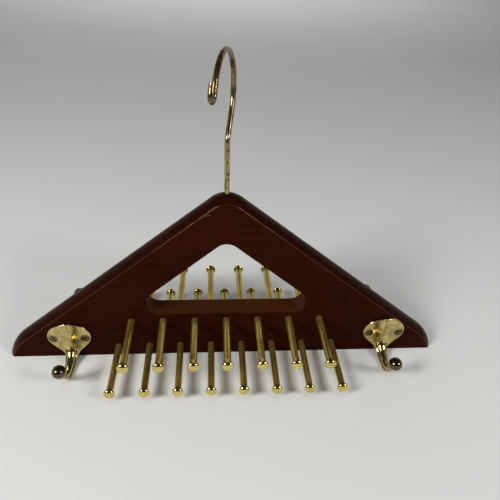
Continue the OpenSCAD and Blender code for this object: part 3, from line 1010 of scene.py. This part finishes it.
def plate_dome(s, x, z):
    """Thickness of the plate at a point: its rim, a low tent over its middle, and the root of the arm."""
    side = min(1.0, abs(x) / (s.plate_width / 2))
    tent = (s.ridge - s.rim) * (1 - side) ** 1.15
    foot = max(0.0, 1 - (z - s.plate_low) / 15.0)
    return s.rim + tent + 2.2 * foot * foot * math.exp(-((x / 6.5) ** 2))


def plate_mesh(s):
    """The plate, through rings from its back edge, over its rim and in to its middle, and filled there."""
    middle = s.plate_mid - 3.0

    def loop(inset, lower, shrink=0.0):
        right = plate_edge(s, inset)
        out = []
        for x, z in right + [(-x, z) for x, z in reversed(right)]:
            x, z = x * (1 - shrink), middle + (z - middle) * (1 - shrink)
            out.append((x, 0.0 if lower is None else lower - plate_dome(s, x, z), z))
        return out

    rings = [loop(0.0, None), loop(0.0, 0.45), loop(0.12, 0.14), loop(0.45, 0.0)]
    rings += [loop(0.6, 0.0, k / SHRINK_STEPS) for k in range(1, SHRINK_STEPS)]
    plate = solid("plate", rings, caps=False)
    with edited(plate) as bm:
        bmesh.ops.holes_fill(bm, edges=[e for e in bm.edges if e.is_boundary], sides=0)
        bmesh.ops.recalc_face_normals(bm, faces=bm.faces)
    return plate


def arm_line(s):
    """Points along the arm's middle as distance from the wood and height, from the plate to the ball."""
    reach, ball_z, low = s.reach, s.ball_height, s.arm_low
    root = (s.rim / 2, s.plate_low + 15)
    lowest = (reach * 0.58, low)
    first = bezier(root, (s.ridge + 2.4, low + 3), (reach * 0.3, low), lowest, ARM_STEPS)
    second = bezier(lowest, (reach * 0.8, low), (reach * 0.87, ball_z / 2), (reach, ball_z), ARM_STEPS)
    return first + second[1:]


def arm_section():
    """Section of the arm as shares of its half width and its thickness: a round rib on a thin flange."""
    turns = [math.pi * k / 20 for k in range(21)]
    rib = [(0.70 * math.cos(a), FLANGE_TOP + 0.62 * math.sin(a)) for a in turns]
    left = [(-0.86, -0.17), (-0.96, -0.22), (-1.0, -0.32), (-0.97, -0.42), (-0.88, -0.48)]
    under = [(x, -0.5) for x in (-0.6, -0.3, 0.0, 0.3, 0.6)]
    return rib + left + under + [(-x, z) for x, z in reversed(left)]


def arm_mesh(s):
    """The arm, swept along its line and narrowing to the ball."""
    line = arm_line(s)
    last = len(line) - 1
    h = s.arm_thickness
    rings = []
    for i, (out, z) in enumerate(line):
        du, dz = tangent(line, i)
        left = 1 - i / last
        w = (s.arm_tip + (s.arm - s.arm_tip) * left * left) / 2
        grown = min(1.0, max(0.0, (s.rib_top - z) / 3.2)) if i < last / 2 else 1.0
        rise = math.sqrt(1 - (1 - grown) ** 2)
        ring = []
        for c, q in arm_section():
            if q > FLANGE_TOP:
                c, q = c * (0.55 + 0.45 * rise), FLANGE_TOP + (q - FLANGE_TOP) * rise
            ring.append((w * c, -(out - dz * h * q), z + du * h * q))
        rings.append(ring)
    return solid("arm", rings)


def ball_mesh(s):
    r = s.ball / 2
    turns = [math.pi * k / 40 for k in range(1, 40)]
    profile = [(0.0, -r)] + [(r * math.sin(a), -r * math.cos(a)) for a in turns] + [(0.0, r)]
    return moved(lathe("ball", profile, 64), 0, -s.reach, s.ball_height)


def crease_cutter(s):
    """A thin crooked wedge that leaves the casting's seam down the middle of the plate."""
    top, low = s.plate_top + 1, s.plate_mid - 13
    shift = (0.0, 0.25, -0.15, 0.35, 0.1, -0.3, -0.05, 0.3, 0.0, -0.25, 0.15)
    width = (1.1, 0.8, 0.5, 0.66, 0.4, 0.58, 0.34, 0.5, 0.28, 0.34, 0.12)
    front = -(s.ridge + 6)
    rings = []
    for k, (x, w) in enumerate(zip(shift, width)):
        f = k / (len(shift) - 1)
        z = top + (low - top) * f
        floor = -(s.ridge - SEAM_FLOOR + 0.5 * f)
        corners = ((x - w * 2, front), (x + w * 2, front), (x + 0.05, floor), (x - 0.05, floor))
        rings.append([(cx, cy, z) for cx, cy in corners])
    return new_object("crease", solid("crease", rings))


def casting_cutters(s, sink):
    """The seam, two countersinks that are sink wide at the surface, and a block that levels the back."""
    cutters = [crease_cutter(s)]
    for side in (-1, 1):
        hole = [(0.0, -3.0), (SCREW_HOLE, -3.0), (SCREW_HOLE, -0.6)]
        cone = lathe("sink", hole + [(sink, 0.5), (sink, 6.0), (0.0, 6.0)])
        cone.transform(Matrix.Rotation(math.pi / 2, 4, "X"))
        moved(cone, side * screw_gap(s) / 2, -SINK_DEPTH, s.screw_height)
        cutters.append(new_object("sink", cone))
    corners = ((-60, 0), (60, 0), (60, 20), (-60, 20))
    block = solid("back", [[(x, y, z) for x, y in corners] for z in (-20, 90)])
    return cutters + [new_object("back", block)]


def paint_casting(s, mesh, sink):
    """Gives the ball its dark bronze, and paints shade onto the walls of the countersinks and of the seam.
    """
    for mat in (
        brass("cast brass", s.colour, (0.36, 0.27, 0.10), 0.10, 210.0, 1.3, EVEN_MARKS, 0.25, 0.32),
        brass("ball bronze", s.ball_colour, (0.10, 0.07, 0.04), 0.14, 120.0, 1.0, EVEN_MARKS, 0.2, 0.2),
        # Near black painted shade for the walls of the countersinks and of the seam.
        brass("sunk dirt", (0.07, 0.05, 0.03), (0.03, 0.02, 0.012), 0.5, 300.0),
    ):
        mesh.materials.append(mat)
    ball = Vector((0, -s.reach, s.ball_height))
    for p in mesh.polygons:
        x, z = abs(p.center.x), p.center.z
        seam = x < SEAM_HALF and abs(p.normal.x) > SEAM_STEEPNESS and z > s.plate_mid - 10
        sunk = math.hypot(x - screw_gap(s) / 2, z - s.screw_height) < sink + 0.02 and abs(p.normal.y) < 0.95
        p.material_index = 2 if seam or sunk else int((p.center - ball).length < s.ball / 2 + 0.25)


class TIEHANGER_OT_coat_hooks(bpy.types.Operator):
    """Cast the four coat hooks, each a plate, an arm and a ball in one piece"""

    bl_idname = "tie_hanger.coat_hooks"
    bl_label = "Coat hooks"

    def execute(self, context):
        s = in_mm(context.scene.hanger_coat_hooks)
        face = context.scene.hanger_board.thickness / MM / 2
        sink = s.screw_head / 2 + SINK_MARGIN
        body = plate_mesh(s)
        with edited(body) as bm:
            bm.from_mesh(arm_mesh(s))
            bm.from_mesh(ball_mesh(s))
        o = new_object("casting", body)
        modify(o, "REMESH", mode="VOXEL", voxel_size=VOXEL, adaptivity=0.0)
        modify(o, "SMOOTH", factor=0.5, iterations=5)
        cutters = casting_cutters(s, sink)
        cut(o, cutters)
        casting = finished(o, "casting")
        drop(cutters)
        paint_casting(s, casting.data, sink)
        for place in HOOK_WAYS:
            o = new_object("coat_hook_" + place + "_cast", casting.data.copy())
            moved(o.data, hook_x(s, place), -face, 0)
            if side_of(place) > 0:
                o.data.transform(Matrix.Rotation(math.pi, 4, "Z"))
            smooth(scaled(o.data))
            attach(o, "hanger")
            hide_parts("coat_hook_" + place)
        drop([casting])
        return {"FINISHED"}


def screw_pattern(s):
    """A countersunk screw head with a cross recess, pointing along +Z."""
    r = s.screw_head / 2
    profile = [(0.0, -6.0), (1.7, -6.0), (1.7, -1.9), (r, -0.12), (r - 0.12, 0.0)]
    profile += [(r * 0.6, 0.06), (0.0, 0.1)]
    head = new_object("screw_pattern", lathe("screw", profile))
    w, l = 0.68, r * 0.68
    floor, mouth = (
        [(-x, -y, z), (x, -y, z), (x, y, z), (-x, y, z)]
        for x, y, z in ((l * 0.55, w * 0.6, -1.5), (l, w, 0.4))
    )
    slots = []
    for turn in (0, 90):
        slot = solid("slot", [floor, mouth])
        slot.transform(Matrix.Rotation(math.radians(turn), 4, "Z"))
        slots.append(new_object("slot", slot))
    cut(head, slots)
    o = finished(head, "screw_pattern")
    drop(slots)
    smooth(scaled(o.data), 35.0)
    return o


class TIEHANGER_OT_screws(bpy.types.Operator):
    """Drive the countersunk screws into the coat hooks' plates"""

    bl_idname = "tie_hanger.screws"
    bl_label = "Screws"

    def execute(self, context):
        s = in_mm(context.scene.hanger_coat_hooks)
        face = context.scene.hanger_board.thickness / MM / 2
        mat = brass("screw bronze", s.screw_colour, (0.16, 0.11, 0.055), 0.16, 220.0, 1.2)
        part, tree, gap = screw_pattern(s), row_tree(), screw_gap(s)
        proud = s.rim - SCREW_DEPTH
        for i, place in enumerate(HOOK_WAYS):
            side = side_of(place)
            x = -side * hook_x(s, place)
            first = ((x - gap / 2) * MM, side * (face + proud) * MM, s.screw_height * MM)
            name = "screws_" + place + "_heads"
            o = place_row(name, tree, part, mat, 2, first, gap * MM, 0.0, SCREW_SEED + i)
            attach(o, "hanger")
            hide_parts("screws_" + place)
        drop([part])
        return {"FINISHED"}


# Stage. The camera is the photograph's: its place, its angles, and its lens in the photograph's pixels

CAMERA_PLACE = (-0.01025, -0.37871, 0.37687)
CAMERA_YAW, CAMERA_PITCH, CAMERA_ROLL = 0.08248, 0.59998, 0.03832
LENS_PIXELS, FRAME_PIXELS, SENSOR = 511.74, 500, 36.0
FLOOR_RINGS, FLOOR_SIDES = 6, 24


def lay_floor(s):
    half = s.floor_size / 2
    rings = [circle(half * k / FLOOR_RINGS, 0, FLOOR_SIDES) for k in range(1, FLOOR_RINGS + 1)]
    mesh = rings_mesh("floor", rings, caps=False)
    with edited(mesh) as bm:
        rim = [e for e in bm.edges if e.is_boundary and e.verts[0].co.length < half / 4]
        bmesh.ops.holes_fill(bm, edges=rim)
        bmesh.ops.recalc_face_normals(bm, faces=bm.faces)
        if bm.faces[0].normal.z < 0:
            bmesh.ops.reverse_faces(bm, faces=bm.faces)
    new_object("floor", mesh, pale_floor(s))


def hang_lights(s):
    """Soft lights at both sides and overhead, and a spot that lights the floor behind the hanger."""
    aim = (0, 0, 0.06)
    lights = (
        ("left light", (-1.0, -0.72, 0.9), aim, s.key_power, s.key_size),
        ("right light", (1.05, -0.72, 0.8), aim, s.fill_power, s.fill_size),
        ("top light", (0, -0.4, 2.2), (0, 0, 0), s.top_power, s.top_size),
        ("rear light", (0, 2.5, 2.4), (0, 3.2, 0), s.rear_power, None),
    )
    for name, place, target, power, size in lights:
        data = bpy.data.lights.new(name, "AREA" if size else "SPOT")
        data.energy = power
        if size:
            data.size = size
        else:
            data.spot_size, data.spot_blend, data.shadow_soft_size = math.radians(115), 1.0, 0.4
        lamp = new_object(name, data)
        lamp.location = place
        lamp.rotation_euler = (Vector(target) - Vector(place)).to_track_quat("-Z", "Y").to_euler()
        lamp.visible_camera = False
        lamp.visible_glossy = name in ("left light", "right light")


def paint_room(s):
    """A room that is pale near the floor and dark overhead, and darker towards the front."""
    world = bpy.data.worlds.new("room")
    bpy.context.scene.world = world
    world.use_nodes = True
    t = world.node_tree
    parts = apart(t, node(t, "ShaderNodeTexCoord", {}).outputs["Generated"])
    height = maths(t, "MULTIPLY_ADD", parts["Y"], -0.38, parts["Z"])
    room = ramp(t, height, (0.10, shade(s.horizon)), (0.42, shade(s.ceiling)))
    feed(t, t.nodes["Background"], "Color", room)
    bpy.context.scene.view_settings.view_transform = "Standard"


def place_camera():
    flat = math.cos(CAMERA_PITCH)
    look = Vector((math.sin(CAMERA_YAW) * flat, math.cos(CAMERA_YAW) * flat, -math.sin(CAMERA_PITCH)))
    right = Vector((math.cos(CAMERA_YAW), -math.sin(CAMERA_YAW), 0))
    up = right.cross(look)
    across = math.cos(CAMERA_ROLL) * right + math.sin(CAMERA_ROLL) * up
    above = -math.sin(CAMERA_ROLL) * right + math.cos(CAMERA_ROLL) * up
    data = bpy.data.cameras.new("camera")
    data.sensor_width = SENSOR
    data.lens = SENSOR * LENS_PIXELS / FRAME_PIXELS
    data.clip_start, data.clip_end = 0.01, 50.0
    camera = new_object("camera", data)
    turn = Matrix((across, above, -look)).transposed().to_4x4()
    camera.matrix_world = Matrix.Translation(CAMERA_PLACE) @ turn
    bpy.context.scene.camera = camera


class TIEHANGER_OT_stage(bpy.types.Operator):
    """Lay the floor, hang the lights and place the camera"""

    bl_idname = "tie_hanger.stage"
    bl_label = "Stage"

    def execute(self, context):
        s = context.scene.hanger_stage
        lay_floor(s)
        hang_lights(s)
        paint_room(s)
        place_camera()
        return {"FINISHED"}


class TIEHANGER_PT_panel(bpy.types.Panel):
    bl_label = "Tie hanger"
    bl_idname = "TIEHANGER_PT_panel"
    bl_space_type = "VIEW_3D"
    bl_region_type = "UI"
    bl_category = "Tie hanger"

    def draw(self, context):
        for op, group in STEPS:
            box = self.layout.box()
            box.operator(op.bl_idname)
            if group is not None:
                settings = getattr(context.scene, group)
                for name in settings.__annotations__:
                    box.prop(settings, name)


SETTINGS = {
    "hanger_board": BoardSettings,
    "hanger_pegs": PegSettings,
    "hanger_wire": WireSettings,
    "hanger_coat_hooks": CoatHookSettings,
    "hanger_stage": StageSettings,
}
STEPS = (
    (TIEHANGER_OT_board, "hanger_board"),
    (TIEHANGER_OT_pegs, "hanger_pegs"),
    (TIEHANGER_OT_wire_hook, "hanger_wire"),
    (TIEHANGER_OT_swivel, None),
    (TIEHANGER_OT_coat_hooks, "hanger_coat_hooks"),
    (TIEHANGER_OT_screws, None),
    (TIEHANGER_OT_stage, "hanger_stage"),
)


CLASSES = (*SETTINGS.values(), *(op for op, _ in STEPS), TIEHANGER_PT_panel)


def register():
    for c in CLASSES:
        bpy.utils.register_class(c)
    for name, group in SETTINGS.items():
        setattr(bpy.types.Scene, name, PointerProperty(type=group))


def unregister():
    for name in SETTINGS:
        delattr(bpy.types.Scene, name)
    for c in reversed(CLASSES):
        bpy.utils.unregister_class(c)


def main():
    register()
    for op, _ in STEPS:
        group, name = op.bl_idname.split(".")
        getattr(getattr(bpy.ops, group), name)()


if __name__ == "__main__":
    main()
